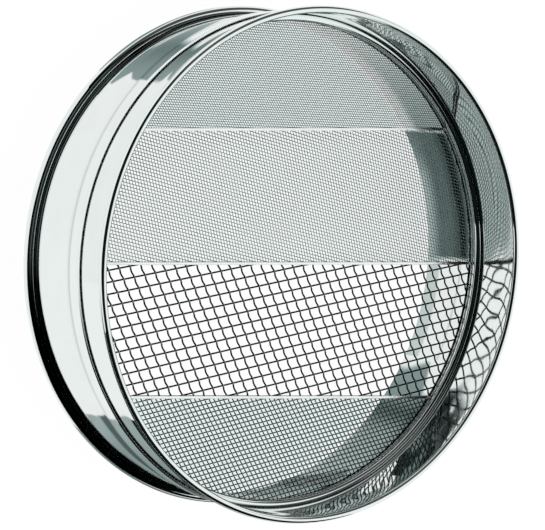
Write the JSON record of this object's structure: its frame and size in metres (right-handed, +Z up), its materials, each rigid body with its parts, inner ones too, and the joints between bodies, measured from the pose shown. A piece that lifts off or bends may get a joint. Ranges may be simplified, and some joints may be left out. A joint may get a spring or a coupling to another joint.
{
  "type": "flour sieve",
  "caption": "Round steel flour sieve: a two-part hoop with rolled rims that clamps a lift-out screen carrying woven wire cloth from fine to coarse.",
  "frame": {"origin": "on the table, at the centre of the bottom rim", "axes": "+Z up along the hoop's axis, from the skirt to the open top; the middle divider runs along Y, with the finest cloth at -X and the medium cloth at +X"},
  "size_m": [0.2122, 0.2122, 0.0604],
  "materials": {
    "hoop_sheet": "mirror-polished stainless sheet",
    "rim_wire": "drawn stainless wire, hidden inside the rolls",
    "screen_frame": "bright stainless strip",
    "weld": "spot-weld nuggets",
    "cloth_wire": "woven stainless wire, semi-bright"
  },
  "bodies": {
    "lower_frame": {"lower_hoop": "hoop_sheet", "lower_rim_wire": "rim_wire"},
    "screen": {"screen_ring_lower": "screen_frame", "screen_ring_upper": "screen_frame", "screen_spot_welds": "weld", "finest_warp_wires": "cloth_wire", "finest_weft_wires": "cloth_wire", "fine_warp_wires": "cloth_wire", "fine_weft_wires": "cloth_wire", "coarse_warp_wires": "cloth_wire", "coarse_weft_wires": "cloth_wire", "medium_warp_wires": "cloth_wire", "medium_weft_wires": "cloth_wire", "divider_finest_top": "screen_frame", "divider_finest_bottom": "screen_frame", "divider_centre_top": "screen_frame", "divider_centre_bottom": "screen_frame", "divider_medium_top": "screen_frame", "divider_medium_bottom": "screen_frame"},
    "upper_frame": {"upper_hoop": "hoop_sheet", "upper_rim_wire": "rim_wire", "clamp_roll_wire": "rim_wire"}
  },
  "joints": [
    {"name": "screen_lift", "type": "slide", "parent": "lower_frame", "child": "screen", "axis": [0, 0, 1], "range_m": [0, 0.04]},
    {"name": "upper_hoop_lift", "type": "slide", "parent": "screen", "child": "upper_frame", "axis": [0, 0, 1], "range_m": [0, 0.05]}
  ]
}
